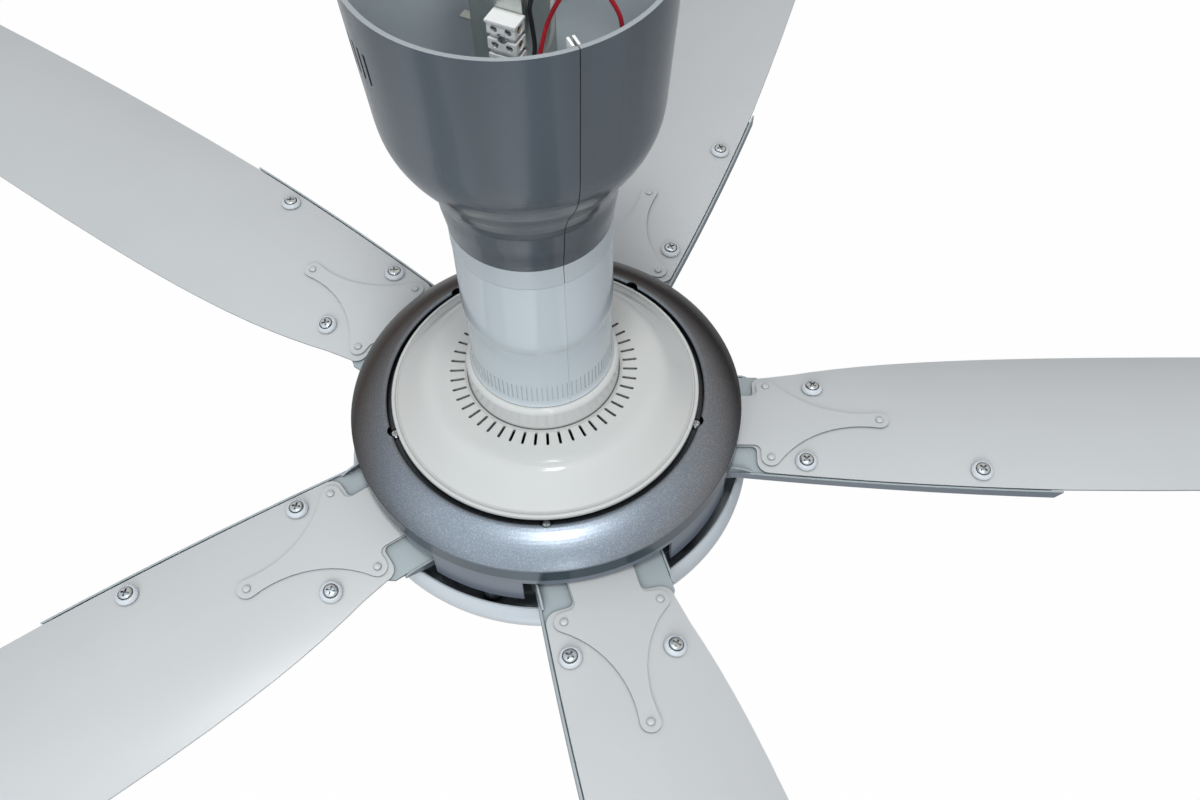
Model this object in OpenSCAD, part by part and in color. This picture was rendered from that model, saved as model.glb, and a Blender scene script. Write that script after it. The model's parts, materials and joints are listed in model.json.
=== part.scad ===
/* [Drop] */
// Height of the rotor edge plane below the ceiling face
hub_drop = 381; // [360:1:420]
// Thickness of the canopy, measured across the wall
canopy_wall = 2.6; // [2:0.1:3]
// Direction of the seam between the two canopy halves, degrees
seam_az = -69.5; // [-80:0.5:-50]
// Width of the seam between the canopy halves
seam_gap = 0.5; // [0.3:0.1:0.8]
// Number of vent slots in each canopy half
canopy_vents = 6; // [1:1:8]
// Angle between two canopy vent slots
canopy_vent_pitch = 4.4; // [4:0.1:8]
// Width of a canopy vent slot
canopy_vent_w = 2.5; // [1:0.1:3]
// Outer diameter of the down pipe
pipe_d = 21.7; // [20:0.1:22.4]
// Wall of the down pipe
pipe_wall = 2.5; // [1.5:0.1:3]

/* [Hanger bracket] */
// Turn of the hanger channel about the axis, degrees
hanger_az = -29.5; // [-40:0.5:0]
// Width of the channel web, outside
channel_w = 30; // [28.5:0.5:34]
// Depth of the channel flanges
channel_d = 34; // [30:1:38]
// Sheet thickness of the channel
channel_t = 2.5; // [2:0.1:2.8]
// Length of the channel below the ceiling
channel_len = 110; // [104:1:120]
// Length of the ceiling plate
plate_l = 90; // [84:1:96]
// Width of the ceiling plate
plate_w = 48; // [40:1:50]
// Thickness of the ceiling plate
plate_t = 3; // [2:0.5:4]
// Distance between the two ceiling screw holes
mount_pitch = 72; // [68:0.5:76]
// Diameter of a ceiling screw hole
mount_hole_d = 6.6; // [5:0.1:7]
// Depth below the ceiling of the bolt the pipe hangs on
hang_bolt_z = 84; // [80:1:90]
// Diameter of the two cross bolts
cross_bolt_d = 6; // [5:0.5:6]

/* [Terminal block] */
// Number of poles
poles = 6; // [3:1:6]
// Height of one pole
pole_pitch = 9.5; // [9:0.5:11]
// Width of the block across the channel web
term_w = 16; // [14:0.5:18]
// Depth of the block off the web
term_d = 10; // [10:0.5:12]
// Sideways position of the block on the web
term_x = 8; // [0:0.5:8]
// Depth below the ceiling of the top of the block
term_top = 27; // [22:1:30]
// Outside diameter of an insulated lead
lead_d = 2.4; // [1.8:0.1:2.6]

/* [Lower cover] */
// Radius of the lower cover at its top
lower_r = 49.7; // [49:0.1:50.4]
// Radius of the lower cover near its foot
lower_r2 = 48.3; // [47.5:0.1:49]
// Wall of the lower cover
lower_wall = 2.5; // [2:0.1:3]
// Width of the seam between the lower cover halves
lower_seam = 0.12; // [0.1:0.02:0.5]
// Top of the lower cover above the rotor edge plane
lower_top_z = 182; // [178:1:186]
// Number of foot grooves round the lower cover
foot_grooves = 90; // [30:2:100]
// Height of the foot grooves
foot_groove_h = 15; // [8:1:24]

/* [Motor top cover] */
// Radius of the motor top cover
disc_r = 110.3; // [108:0.1:111]
// Height of its flat top
disc_z = 40.5; // [38:0.5:42]
// Height of its outer edge
disc_edge_z = 20; // [19:0.2:22]
// Thickness of the motor top cover
disc_t = 2.2; // [1.8:0.1:2.4]
// Number of radial vent slots
disc_vents = 47; // [24:1:60]
// Inner end of a vent slot from the axis
vent_r1 = 55.8; // [55.6:0.1:58]
// Outer end of a vent slot from the axis
vent_r2 = 66; // [62:0.1:74]
// Width of a vent slot
vent_w = 2; // [1:0.1:3]
// Radius at which the top begins to fall away
disc_shoulder_r = 79; // [76:1:88]

/* [Rotor] */
// Largest radius of the ring cover
ring_r = 142; // [141.6:0.1:143]
// Radius of the opening in the ring cover
ring_lip_r = 113.4; // [113:0.1:115]
// Radius of the hub wall
hub_r = 140.2; // [139:0.1:140.6]
// Thickness of the hub wall
hub_wall_t = 2; // [1.5:0.1:2.5]
// Height of the lower edge of the hub wall
hub_low_z = -41; // [-42:0.5:-38]
// Half angle of the opening in the hub wall for one blade arm
opening_half = 22.4; // [21.8:0.1:24]
// Height of the upper edge of that opening
opening_top_z = -17.5; // [-18:0.5:-16]
// Radius of the bottom cover
bowl_r = 150.2; // [150:0.1:154]
// Height of the underside of the bottom cover
bowl_low_z = -98; // [-108:1:-96]
// Wall of the bottom cover
bowl_wall = 2.5; // [2:0.1:3]
// Radius of the motor shaft
shaft_r = 8.5; // [8:0.1:8.5]
// Running clearance round the shaft
run_gap = 0.05; // [0.03:0.01:0.08]
// Radius of the stator core
stator_r = 60; // [56:0.5:61]
// Height of the stator stack
stack_h = 36; // [28:1:38]
// Air gap between stator and rotor cage
air_gap = 0.6; // [0.5:0.1:1]

/* [Blades] */
// Distance from the axis to the blade tip
blade_tip = 750; // [600:5:900]
// Direction of the first blade, degrees
blade_phase = -5.3; // [-20:0.1:20]
// Pitch of the blades, degrees
blade_pitch = 4.9; // [3:0.1:6]
// Radius of the camber across the blade
camber_r = 260; // [240:5:400]
// Thickness of the blade sheet
blade_t = 1.2; // [0.8:0.1:1.4]
// Height of the blade crown relative to the rotor edge plane
blade_z = -23; // [-24:0.5:-22]
// Half width of the tongue that enters the hub
tongue_half = 24; // [20:0.5:25]
// Distance from the axis at which the blade widens
root_u = 154; // [153:0.5:157]
// Rounding of the blade root corners
root_corner_r = 9; // [8:0.5:12]
// Leading edge offset at the root
lead_root_v = 43.1; // [42.5:0.1:44]
// Slope of the leading edge at the root
lead_slope = 0.0962; // [0.09:0.001:0.1]
// Bow of the leading edge, share of the distance squared
lead_bow = 0.00017; // [0.00015:0.00001:0.0002]
// Trailing edge offset at the root
trail_root_v = 46; // [45:0.1:46.4]
// Extra width gained by the trailing edge
trail_gain = 34; // [20:1:50]
// Length over which the trailing edge gains that width
trail_len = 115; // [90:1:150]
// Rounding of the blade tip corners
tip_corner_r = 26; // [15:1:34]

/* [Blade arms] */
// Sheet thickness of an arm
arm_t = 2; // [1.6:0.1:2.4]
// End of the stiffening flange
arm_end_u = 371; // [340:1:400]
// Height of the stiffening flange
flange_h = 6; // [4.5:0.5:10]
// Sheet thickness of the stiffening flange
flange_t = 1.5; // [1:0.1:2]
// Gap between the blade's leading edge and the flange
flange_gap = 1; // [0.5:0.1:1.5]
// Diameter of the head of a blade screw
screw_head_d = 9.5; // [8:0.1:10]
// Diameter of the nylon washer under a blade screw
washer_d = 14.8; // [14:0.1:17]
// Thickness of the nylon washer
washer_t = 3.6; // [2:0.1:5]
// Radius of the lobes of the root plate
lobe_r = 7; // [6:0.1:8]
// Radius of the hollow arcs between the lobes
hollow_r = 78.5; // [70:0.5:90]
// Thickness of the root plate
root_plate_t = 1.2; // [1:0.1:1.5]
// Position of the root lobes along the blade
lobe_u = 164; // [163:0.5:168]
// Sideways position of the root lobes
lobe_v = 33.8; // [32:0.1:34.2]
// Position of the outer lobe along the blade
lobe_tip_u = 246; // [235:0.5:255]

/* [Hidden] */
$fn = 96;
fit = 0.3;                                   // clearance between curved faces
blades = 5;
step = 360 / blades;
pipe_r = pipe_d / 2;
bolt_r = cross_bolt_d / 2;
lead_r = lead_d / 2;
canopy_low_z = lower_top_z + 2 * fit;
canopy_top_z = 378;
coupling_top_z = 88;
coupling_low_z = 26;
shaft_top_z = 58;
pipe_low_z = 59.3;
pipe_top_z = hub_drop - hang_bolt_z + 18;
hang_z = hub_drop - hang_bolt_z;
flange_z = disc_z - disc_t - fit;            // top of the coupling flange
plate_z = -42;                               // top of the rotor flange
stack_top = -10;
stack_low = stack_top - stack_h;
cage_r = 82;
case_r = 88;
case_low = -72;
case_split = -24;
case_top = 12;
bearing_r = 20;
ring_screw_r = 111.6;
ring_screw_az = -15;
ledge_z = 12.5;
seat_z = ledge_z - 0.4;
case_screw_r = 85.1;
pillar_r = 122;
wall_top_z = -9.5;
screw_pts = [[189.2, -36.6], [199.4, 32.6], [315, -42.7]];
rivet_pts = [[lobe_u, -lobe_v], [lobe_u, lobe_v], [lobe_tip_u, 0]];
arm_bolt_pts = [[103, -22], [103, 22]];
term_z = hub_drop - term_top;                // top of the block above the plane
fixing_z = [term_z - pole_pitch, term_z - (poles - 1) * pole_pitch];
function pole_z(i) = term_z - (i + 0.5) * pole_pitch;

// Points of an arc, n steps, both ends included
function arc(c, r, a, b, n) =
    [for (i = [0:n]) let (t = a + (b - a) * i / n) [c[0] + r * cos(t), c[1] + r * sin(t)]];
// The same without its first point, to follow a point already given
function arc_on(c, r, a, b, n) =
    [for (i = [1:n]) let (t = a + (b - a) * i / n) [c[0] + r * cos(t), c[1] + r * sin(t)]];
// Points of a cubic curve through a and d, without its last point
function bez(a, b, c, d, n) =
    [for (i = [0:n - 1]) let (t = i / n, s = 1 - t)
        s * s * s * a + 3 * s * s * t * b + 3 * s * t * t * c + t * t * t * d];
function inward(pts, t) =
    [for (i = [len(pts) - 1:-1:0]) [pts[i][0] - t, pts[i][1]]];
function below(pts, t) =
    [for (i = [len(pts) - 1:-1:0]) [pts[i][0], pts[i][1] - t]];
// Edge lines of the blade, as functions of the distance from the axis
function lead_curve(w) = -lead_root_v - lead_slope * w + lead_bow * w * w;
function lead_edge(u) = u < 372 ? lead_curve(u - 135)
    : lead_curve(237) + 12.4 * pow((u - 372) / 352, 2) * pow(724 / blade_tip, 2);
// Outer face of the stiffening flange
function bar_line(u) = lead_curve(u - 135) - flange_gap - flange_t;
function trail_edge(u) = trail_root_v + trail_gain * (1 - exp(-(u - root_u - 19) / trail_len));

module at_hub() {
    translate([0, 0, -hub_drop]) children();
}

// Frame of the hanger channel: X across the web, Y out of the web
module at_hanger() {
    at_hub() rotate([0, 0, hanger_az]) mirror([0, 1, 0]) children();
}

// Local frame of blade k: X outward, Z on the crown of the camber
module at_blade(k) {
    at_hub()
    rotate([0, 0, blade_phase - step * k])
    translate([0, 0, blade_z])
    rotate([-blade_pitch, 0, 0])
    children();
}

module ring(r_out, r_in, h) {
    difference() {
        cylinder(r = r_out, h = h);
        translate([0, 0, -1]) cylinder(r = r_in, h = h + 2);
    }
}

module pan_screw(head_r, head_h, shank_r, length) {
    difference() {
        union() {
            cylinder(r = head_r, h = head_h * 0.55);
            translate([0, 0, head_h * 0.55]) cylinder(r1 = head_r, r2 = head_r * 0.72, h = head_h * 0.45);
            translate([0, 0, -length]) cylinder(r = shank_r, h = length + 0.1);
        }
        translate([0, 0, head_h - 0.7]) {
            translate([-head_r * 0.6, -0.45, 0]) cube([head_r * 1.2, 0.9, 2]);
            translate([-0.45, -head_r * 0.6, 0]) cube([0.9, head_r * 1.2, 2]);
        }
    }
}

module half_space(side, gap) {
    rotate([0, 0, seam_az])
    translate([-200, side > 0 ? gap / 2 : -200 - gap / 2, -100])
    cube([400, 200, 600]);
}

// Ceiling bracket and hanging parts

module ceiling_bracket() color("#9ea8a5") {
    hw = channel_w / 2;
    hd = channel_d / 2;
    at_hanger()
    difference() {
        union() {
            translate([-plate_l / 2, -plate_w / 2, hub_drop - plate_t]) cube([plate_l, plate_w, plate_t]);
            translate([-hw, hd - channel_t, hub_drop - channel_len])
                cube([channel_w, channel_t, channel_len - 0.5]);
            for (s = [-1, 1])
                translate([s > 0 ? hw - channel_t : -hw, -hd, hub_drop - channel_len])
                    cube([channel_t, channel_d, channel_len - 0.5]);
            translate([-hw - 6.5, hd - 5.5, term_z - 13.5]) cube([7, 5.5, 1.6]);
        }
        for (s = [-1, 1])
            translate([s * mount_pitch / 2, 0, hub_drop - plate_t - 1])
                cylinder(d = mount_hole_d, h = plate_t + 2);
        translate([24.5, 0, hub_drop - plate_t - 1]) cylinder(r = 6, h = plate_t + 2);
        translate([-hw - 1, 0, hang_z]) rotate([0, 90, 0]) cylinder(r = 6, h = channel_w + 2);
        for (z = fixing_z)
            translate([term_x, hd - channel_t - 1, z]) rotate([-90, 0, 0])
                cylinder(r = 1.4, h = channel_t + 2);
    }
}

module hanger_bushes() color("#2c2e30") {
    hw = channel_w / 2;
    at_hanger()
    for (s = [-1, 1])
        translate([s * (hw - channel_t), 0, hang_z]) rotate([0, s * 90, 0])
            difference() {
                union() {
                    cylinder(r = 6 - fit, h = channel_t + 0.3);
                    translate([0, 0, channel_t + 0.3]) cylinder(r = 8.5, h = 2);
                }
                translate([0, 0, -1]) cylinder(r = bolt_r + fit, h = channel_t + 5);
            }
}

// One M6 bolt along X with its head on the negative side, half grip g
module cross_bolt(g) {
    rotate([0, 90, 0]) {
        translate([0, 0, -g - 4]) cylinder(r = 5.6, h = 4, $fn = 6);
        translate([0, 0, -g - 0.1]) cylinder(r = bolt_r, h = 2 * g + 9);
    }
}

module cross_nut(g) {
    rotate([0, 90, 0])
    translate([0, 0, g])
    difference() {
        cylinder(r = 5.6, h = 5, $fn = 6);
        translate([0, 0, -1]) cylinder(r = bolt_r + 0.05, h = 7);
    }
}

hang_grip = channel_w / 2 + 2.3;
module cross_bolts() color("#b5b9bb") {
    at_hanger() {
        translate([0, 0, hang_z]) cross_bolt(hang_grip);
        translate([0, 0, 76]) cross_bolt(17);
    }
}

module cross_nuts() color("#b5b9bb") {
    at_hanger() {
        translate([0, 0, hang_z]) cross_nut(hang_grip);
        translate([0, 0, 76]) cross_nut(17);
    }
}

module down_pipe() color("#c3c8ca") {
    at_hanger()
    difference() {
        translate([0, 0, pipe_low_z]) ring(pipe_r, pipe_r - pipe_wall, pipe_top_z - pipe_low_z);
        translate([-pipe_r - 1, 0, hang_z]) rotate([0, 90, 0])
            cylinder(r = bolt_r + 0.2, h = pipe_d + 2);
        translate([-pipe_r - 1, 0, 76]) rotate([0, 90, 0])
            cylinder(r = bolt_r + 0.2, h = pipe_d + 2);
        translate([0, -pipe_r - 1, hang_z - 34]) rotate([-90, 0, 0]) cylinder(r = 5, h = pipe_r);
    }
}

// Terminal block: stacked poles, one brass insert and two screws to a pole

term_y = channel_d / 2;
term_bore = term_d / 2;                      // distance of the wire holes from the web
term_seat = term_d - 1.5;                    // front of the block between two poles
module terminal_block() color("#eef0ee") {
    at_hanger() translate([term_x, term_y, 0])
    difference() {
        union() {
            translate([-term_w / 2 + 2, 0, term_z - poles * pole_pitch])
                cube([term_w - 4, term_seat, poles * pole_pitch - 1.4]);
            for (i = [0:poles - 1])
                translate([-term_w / 2, 0, term_z - (i + 1) * pole_pitch + 1.5])
                    cube([term_w, term_d, pole_pitch - 3]);
            translate([-term_w / 2 - 0.6, 0, term_z - 1.5]) cube([term_w + 1.2, term_d + 0.6, 1.5]);
        }
        for (i = [0:poles - 1]) translate([0, term_bore, pole_z(i)]) {
            translate([-term_w / 2 - 1, 0, 0]) rotate([0, 90, 0]) cylinder(r = 2.7, h = term_w + 2);
            for (s = [-1, 1])
                translate([s * 4, 0, 0]) rotate([-90, 0, 0]) cylinder(r = 1.9, h = term_d);
        }
        for (z = fixing_z)
            translate([0, -1, z]) rotate([-90, 0, 0]) {
                cylinder(r = 1.7, h = term_d + 2);
                translate([0, 0, term_seat + 1]) cylinder(r = 3, h = term_d);
            }
    }
}

module terminal_inserts() color("#b8963e") {
    at_hanger()
    for (i = [0:poles - 1])
        translate([term_x - term_w / 2 + 1.2, term_y + term_bore, pole_z(i)])
            difference() {
                rotate([0, 90, 0]) ring(2.4, 1.5, term_w - 2.4);
                for (x = [term_w / 2 - 1.2 - 4, term_w / 2 - 1.2 + 4])
                    translate([x, 0, 0]) rotate([-90, 0, 0]) cylinder(r = 1.3, h = 4);
            }
}

module terminal_screws() color("#c9cccd") {
    at_hanger()
    for (i = [0:poles - 1], s = [-1, 1])
        translate([term_x + s * 4, term_y + term_bore + 1.6, pole_z(i)])
            rotate([-90, 0, 0])
            difference() {
                union() {
                    cylinder(r = 1.1, h = 1.6);
                    translate([0, 0, 1.5]) cylinder(r = 1.6, h = 1.4);
                }
                translate([-2, -0.3, 2.3]) cube([4, 0.6, 2]);
            }
}

module terminal_fixings() color("#c9cccd") {
    at_hanger()
    for (z = fixing_z)
        translate([term_x, term_y + term_seat, z]) rotate([-90, 0, 0]) pan_screw(2.7, 1.4, 1.2, 12);
}

// Leads: tubes of eight sides along hand-chosen points, round bends by
// a ring on the bisecting plane of each point

function unit(v) = v / norm(v);
function dir_at(p, i) = i == 0 ? unit(p[1] - p[0])
    : i == len(p) - 1 ? unit(p[i] - p[i - 1])
    : unit(unit(p[i] - p[i - 1]) + unit(p[i + 1] - p[i]));
function side_of(d, s) = unit(s - d * (s * d));
function sides(p, i, s) = i == len(p) ? []
    : let (n = side_of(dir_at(p, i), s)) concat([n], sides(p, i + 1, n));
// Two rings to a bend, each up to d from the corner
function toward(a, b, d) = a + unit(b - a) * min(d, 0.4 * norm(b - a));
function soften(p, d = 5) = concat([p[0]],
    [for (i = [1:len(p) - 2]) each [toward(p[i], p[i - 1], d), toward(p[i], p[i + 1], d)]],
    [p[len(p) - 1]]);

module wire(path, r) {
    n = 8;
    sd = sides(path, 0, [0.3, 0.9, 0.2]);
    pts = [for (i = [0:len(path) - 1])
        let (d = dir_at(path, i), a = sd[i], b = cross(d, a))
        for (k = [0:n - 1]) path[i] + r * (cos(360 * k / n) * a + sin(360 * k / n) * b)];
    last = (len(path) - 1) * n;
    faces = concat(
        [[for (k = [0:n - 1]) k]],
        [for (i = [0:len(path) - 2], k = [0:n - 1])
            [i * n + (k + 1) % n, i * n + k, (i + 1) * n + k, (i + 1) * n + (k + 1) % n]],
        [[for (k = [n - 1:-1:0]) last + k]]);
    polyhedron(points = pts, faces = faces, convexity = 10);
}

tx = term_x + term_w / 2;
ty = term_y + term_bore;
lead_red_path = [[tx - 2, ty, pole_z(4)], [21, ty + 0.5, pole_z(4)], [22.8, 20.3, 326],
    [26.3, 14.2, 349], [29, 11.5, 357], [36, 8, 371], [46, 1, 373.5], [54.5, -4.3, 359],
    [59.2, -6.5, 344], [50, -14, 296], [24, -21, 268], [4, -16, 263], [2.2, -2.5, 262], [2.2, -5.6, 90], [2.2, -5.4, 68],
    [2.2, -0.9, 54], [2.2, -0.8, -5], [2.4, -35.1, -5.2]];
lead_return_path = [[tx - term_w + 2, ty, pole_z(5)], [-6, ty + 0.5, pole_z(5)], [-22, 17, 288],
    [-27, -4, 278], [-18, -20, 268], [-4, -16, 263], [-2.2, -2.5, 262], [-2.2, -5.6, 90],
    [-2.2, -5.4, 68], [-2.2, -0.9, 54], [-2.2, -0.8, -5], [-2.4, -35.1, -5.2]];
lead_white_path = [[tx - 2, ty, pole_z(5)], [20, ty, pole_z(5)], [20.5, 13, 318],
    [21.7, 9, 328], [25.6, 8.4, 337], [26.4, 7, 344], [25, 4.3, 357], [26.5, 2, 379.5]];
lead_black_path = [[tx - 2, ty, pole_z(3)], [18.2, 20.5, pole_z(3)], [19.1, 13, 330],
    [16.7, 11.1, 345], [16.8, 14, 361], [22.5, -2, 379.5]];

module lead_red() color("#b3202c") at_hanger() wire(soften(lead_red_path), lead_r);
module lead_white() color("#e6e6e2") at_hanger() wire(soften(lead_white_path), lead_r);
module lead_black() color("#26282a") at_hanger() wire(soften(lead_black_path), lead_r);
module lead_return() color("#26282a") at_hanger() wire(soften(lead_return_path), lead_r);

// Canopy: a bell in two halves

canopy_outer = concat(
    bez([85.8, canopy_top_z], [84.6, 354], [82.3, 325], [80.7, 301], 6),
    bez([80.7, 301], [79.6, 284.3], [79.6, 274.1], [66.9, 255.3], 12),
    bez([66.9, 255.3], [62.8, 249.6], [57, 240.6], [54.9, 230.4], 6),
    bez([54.9, 230.4], [54.3, 228.6], [53.9, 224], [53.3, 218], 4),
    bez([53.3, 218], [52.9, 214], [51.2, 206], [50.4, 198.5], 5),
    [[50.4, 198.5], [50.1, canopy_low_z]]);

module canopy_half(side) {
    at_hub()
    difference() {
        intersection() {
            rotate_extrude() polygon(concat(canopy_outer, inward(canopy_outer, canopy_wall)));
            half_space(side, seam_gap);
        }
        for (i = [0:canopy_vents - 1])
            rotate([0, 0, seam_az + side * 90 + (i - (canopy_vents - 1) / 2) * canopy_vent_pitch])
                translate([70, -canopy_vent_w / 2, 332.6]) cube([30, canopy_vent_w, 20.4]);
    }
}
module canopy_half_left() color("#5f676f") canopy_half(-1);
module canopy_half_right() color("#5f676f") canopy_half(1);

module canopy_clips() color("#eceeee") {
    at_hub()
    for (a = [seam_az, seam_az + 180])
        rotate([0, 0, a])
        translate([0, 0, canopy_top_z - 14])
        difference() {
            union() {
                translate([77.8, -6.5, 0]) cube([4, 13, 9]);
                for (s = [-1, 1])
                    translate([74.8, s * 1.45 - 0.65, 0]) cube([7.5, 1.3, 13.2]);
            }
            difference() {
                translate([70, -20, -1]) cube([20, 40, 20]);
                translate([0, 0, -2]) cylinder(r = 81.8, h = 30);
            }
        }
}

// Lower cover, collar and motor top cover

module lower_cover(side) {
    at_hub()
    difference() {
        intersection() {
            rotate_extrude()
                polygon(concat([[lower_r - 0.5, lower_top_z], [lower_r, lower_top_z - 0.5],
                    [lower_r - 0.1, 124]],
                    bez([lower_r - 0.2, 122], [lower_r - 0.4, 118], [lower_r2, 118], [lower_r2, 113], 6),
                    [[lower_r2, 113]],
                    bez([lower_r2, 66], [lower_r2, 63], [lower_r2 + 0.4, 62], [lower_r2 + 1, 61.2], 4),
                    [[lower_r2 + 1, 61.2], [lower_r2 - lower_wall, 61.2],
                     [lower_r2 - lower_wall, 176], [lower_r2 - lower_wall - 1.6, 178],
                     [lower_r2 - lower_wall - 1.6, 196], [lower_r2 - lower_wall + 0.9, 196],
                     [lower_r2 - lower_wall + 0.9, lower_top_z]]));
            half_space(side, lower_seam);
        }
        for (i = [0:foot_grooves - 1])
            rotate([0, 0, seam_az + (i + 0.5) * 360 / foot_grooves])
                translate([lower_r2 - 0.5, -0.4, 67]) cube([3, 0.8, foot_groove_h]);
    }
}
module lower_cover_left() color("#bcc8ce") lower_cover(-1);
module lower_cover_right() color("#bcc8ce") lower_cover(1);

module cover_collar() color("#cdd0cd") {
    at_hub()
    rotate_extrude()
    polygon(concat([[44, disc_z + 0.1], [53.1, disc_z + 0.1]],
        arc([48.9, 56.7], 4.2, 0, 90, 8), [[44, 60.9]]));
}

disc_outer = concat([[18, disc_z], [53.5, disc_z], [53.7, disc_z + 0.5], [54.9, disc_z + 0.5],
        [55.2, disc_z], [disc_shoulder_r - 6.5, disc_z]],
    bez([disc_shoulder_r - 6, disc_z], [disc_shoulder_r + 3, disc_z],
        [disc_shoulder_r + 6.5, disc_z - 1.7], [disc_shoulder_r + 13, disc_z - 7.7], 10),
    [[disc_shoulder_r + 13, disc_z - 7.7], [disc_r - 4.2, disc_edge_z - 0.3],
     [disc_r - 3.2, disc_edge_z - 0.5]],
    arc([disc_r - 1.6, disc_edge_z - 1.3], 1.6, 150, 0, 6));

module motor_top_cover() color("#ced1cf") {
    at_hub()
    difference() {
        rotate_extrude()
            polygon(concat(disc_outer, [[disc_r, disc_edge_z - disc_t - 0.6],
                [disc_r - 4, disc_edge_z - disc_t - 0.6],
                [disc_shoulder_r + 7.6, disc_z - 4 - disc_t + 0.4],
                [disc_shoulder_r + 1, disc_z - disc_t], [18, disc_z - disc_t]]));
        for (i = [0:disc_vents - 1])
            rotate([0, 0, -90 + i * 360 / disc_vents]) {
                translate([vent_r1 + vent_w / 2, -vent_w / 2, disc_z - 5])
                    cube([vent_r2 - vent_r1 - vent_w, vent_w, 10]);
                for (r = [vent_r1 + vent_w / 2, vent_r2 - vent_w / 2])
                    translate([r, 0, disc_z - 5]) cylinder(d = vent_w, h = 10);
            }
        for (a = [0, 120, 240]) rotate([0, 0, a + 30]) translate([27, 0, disc_z - 5])
            cylinder(r = 2.3, h = 10);
        rotate([0, 0, 90]) translate([22.5, 19.5, disc_z - 5]) cylinder(r = 1.6, h = 10);
    }
}

module top_cover_screws() color("#b5b9bb") {
    at_hub()
    for (a = [0, 120, 240]) rotate([0, 0, a + 30])
        translate([27, 0, disc_z]) pan_screw(4, 2.6, 2, 6);
}

module pipe_coupling() color("#7e8487") {
    at_hanger()
    difference() {
        union() {
            translate([0, 0, coupling_low_z]) cylinder(r = 17 - fit, h = coupling_top_z - coupling_low_z);
            translate([0, 0, flange_z - 5 + fit]) cylinder(r = 34, h = 5);
        }
        translate([0, 0, 59]) cylinder(r = pipe_r + 0.08, h = 40);
        translate([0, 0, coupling_low_z - 1]) cylinder(r = shaft_r + 0.08, h = 40);
        translate([-20, 0, 76]) rotate([0, 90, 0]) cylinder(r = bolt_r + 0.2, h = 40);
        rotate([0, 0, hanger_az]) mirror([0, 1, 0])
            for (a = [0, 120, 240]) rotate([0, 0, a + 30])
                translate([27, 0, 28]) cylinder(r = 2.2, h = 20);
    }
}

module run_capacitor() color("#e3e5e3") {
    at_hub()
    rotate([0, 0, 90])
    difference() {
        union() {
            translate([19.5, -14, disc_z]) cube([20.5, 28, 46]);
            translate([19.5, 13, disc_z]) cube([6, 10, 2]);
        }
        translate([22.5, 19.5, disc_z - 1]) cylinder(r = 1.6, h = 4);
    }
}

module capacitor_screw() color("#b5b9bb") {
    at_hub() rotate([0, 0, 90]) translate([22.5, 19.5, disc_z + 2]) pan_screw(2.6, 2, 1.4, 3.9);
}

// Motor: fixed shaft and stator, turning cage and housing

module motor_shaft() color("#a9aeb1") {
    at_hanger()
    difference() {
        union() {
            translate([0, 0, case_low - 8]) cylinder(r = shaft_r, h = shaft_top_z - case_low + 8);
            translate([0, 0, stack_low - 3]) cylinder(r = shaft_r + 2.5, h = 3);
            translate([0, 0, 1.1]) cylinder(r = shaft_r + 2.2, h = 2.85);
        }
        translate([0, 0, -11]) cylinder(r = 4.6, h = 90);
        translate([-4.2, -14, -9]) cube([8.4, 14, 9]);
    }
}

module shaft_nut() color("#b5b9bb") {
    at_hub()
    translate([0, 0, case_low - 7])
    difference() {
        cylinder(r = 14, h = 8.8, $fn = 6);
        translate([0, 0, -1]) cylinder(r = shaft_r + 0.05, h = 12);
    }
}

module stator_core() color("#7a6f63") {
    at_hub()
    translate([0, 0, stack_low])
    difference() {
        cylinder(r = stator_r, h = stack_h);
        translate([0, 0, -1]) cylinder(r = shaft_r + run_gap, h = stack_h + 2);
        for (i = [0:23])
            rotate([0, 0, i * 15]) {
                translate([stator_r - 3, -1.2, -1]) cube([5, 2.4, stack_h + 2]);
                translate([36, -3, -1]) cube([stator_r - 39, 6, stack_h + 2]);
            }
    }
}

module stator_winding() color("#a5622f") {
    at_hub()
    for (z = [stack_low - 9.3, stack_top + 0.3])
        translate([0, 0, z])
        rotate_extrude()
        polygon(concat(arc([50, 4.5], 4.5, -90, 90, 8), arc([40, 4.5], 4.5, 90, 270, 8)));
}

module bearing(z) {
    translate([0, 0, z])
    rotate_extrude()
    polygon([[shaft_r + run_gap, 0], [12.4, 0], [12.4, 1], [16.4, 1], [16.4, 0], [bearing_r, 0],
        [bearing_r, 12], [16.4, 12], [16.4, 11], [12.4, 11], [12.4, 12], [shaft_r + run_gap, 12]]);
}
module bearing_upper() color("#c4c8ca") at_hub() bearing(4);
module bearing_lower() color("#c4c8ca") at_hub() bearing(case_low + 2);

module rotor_cage() color("#8d9194") {
    at_hub()
    translate([0, 0, stack_low]) ring(cage_r, stator_r + air_gap, stack_h);
}

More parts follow.
